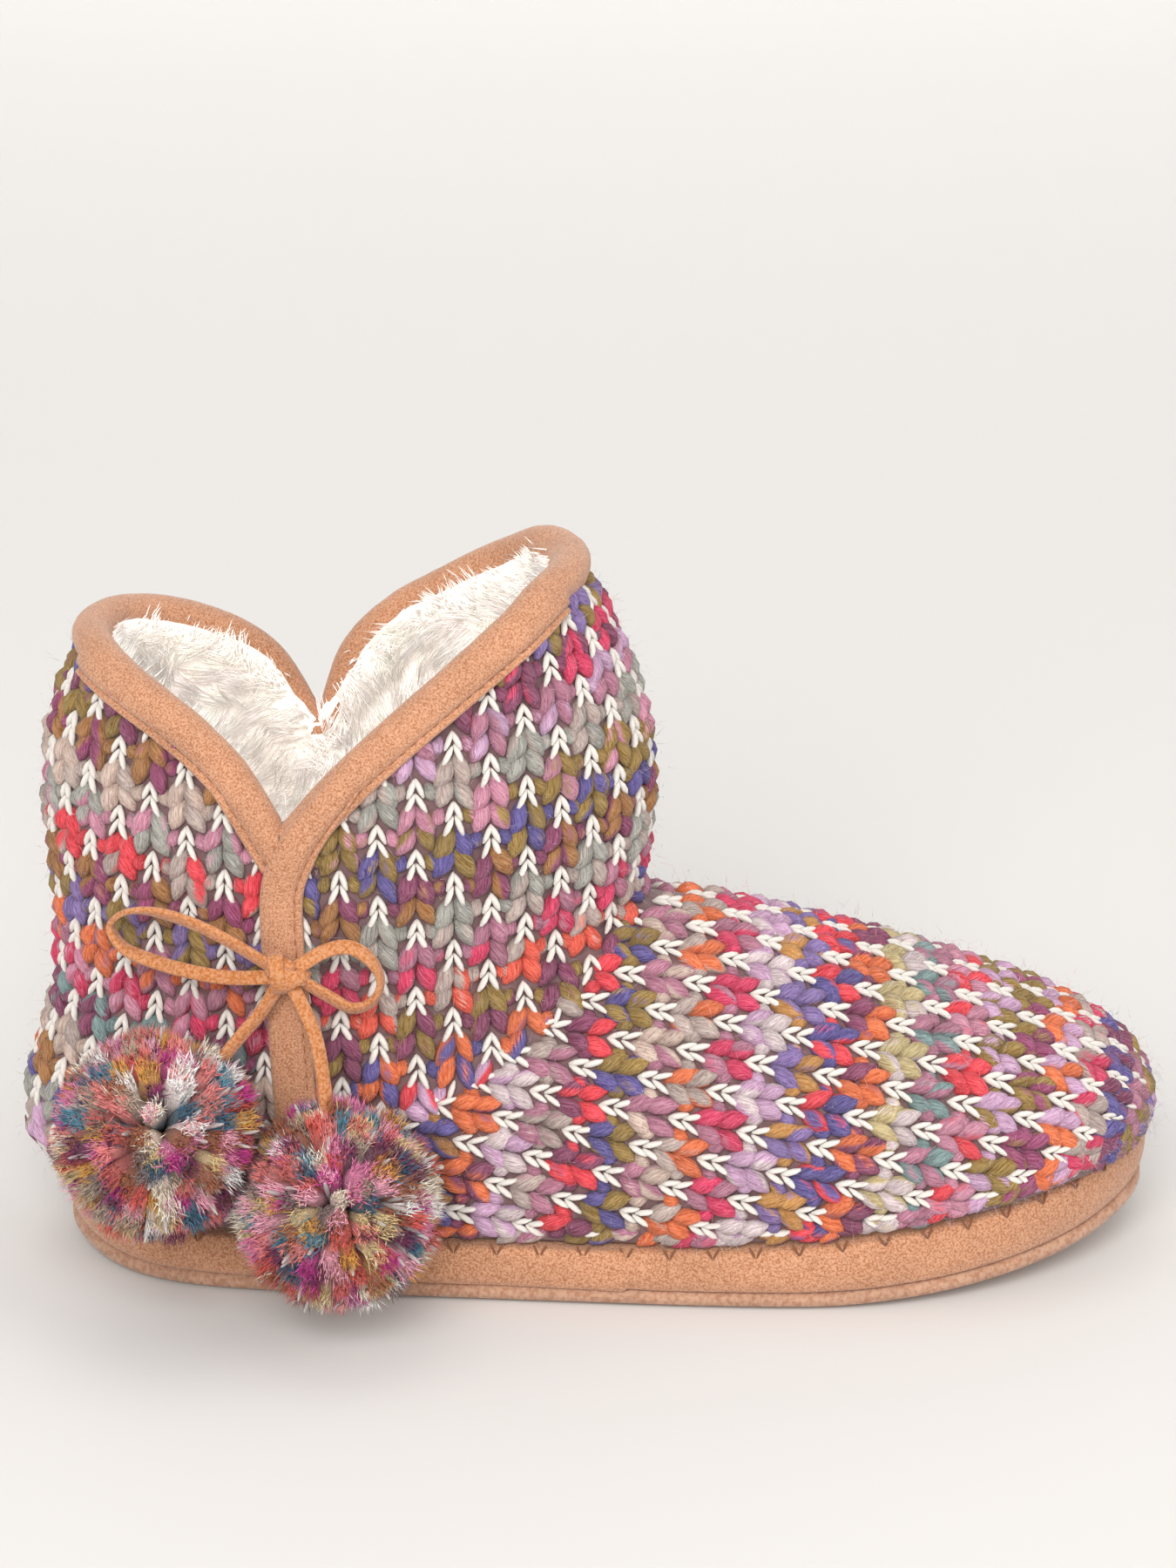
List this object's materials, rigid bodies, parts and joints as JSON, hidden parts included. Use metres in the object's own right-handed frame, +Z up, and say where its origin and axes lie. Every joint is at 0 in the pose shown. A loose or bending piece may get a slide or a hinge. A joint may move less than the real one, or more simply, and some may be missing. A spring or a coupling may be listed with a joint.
{
  "type": "knit slipper boot",
  "caption": "Ankle-high knit slipper boot with a notched suede-bound collar, soft platform sole, and a side bow carrying yarn pompoms.",
  "frame": {"origin": "on the floor under the middle of the sole, on the flat of the outsole", "axes": "+X toward the toe, +Y toward the medial side, +Z up"},
  "size_m": [0.264, 0.1356, 0.1658],
  "materials": {
    "outsole": "matt brown",
    "suede_band": "napped suede",
    "lining": "deep pile",
    "knit": "chunky marled knit",
    "suede": "napped suede",
    "lace": "napped suede",
    "pompom_yarn": "cut yarn"
  },
  "bodies": {
    "root": {"outsole": "outsole", "midsole": "suede_band", "insole": "lining", "upper": "knit", "binding_front": "suede", "binding_rear": "suede", "side_strip_lateral": "suede", "side_strip_medial": "suede", "bow_knot": "lace", "bow_loop_rear": "lace", "bow_loop_front": "lace", "bow_tail_rear": "lace", "bow_tail_front": "lace", "pompom_rear": "pompom_yarn", "pompom_front": "pompom_yarn"}
  },
  "joints": []
}
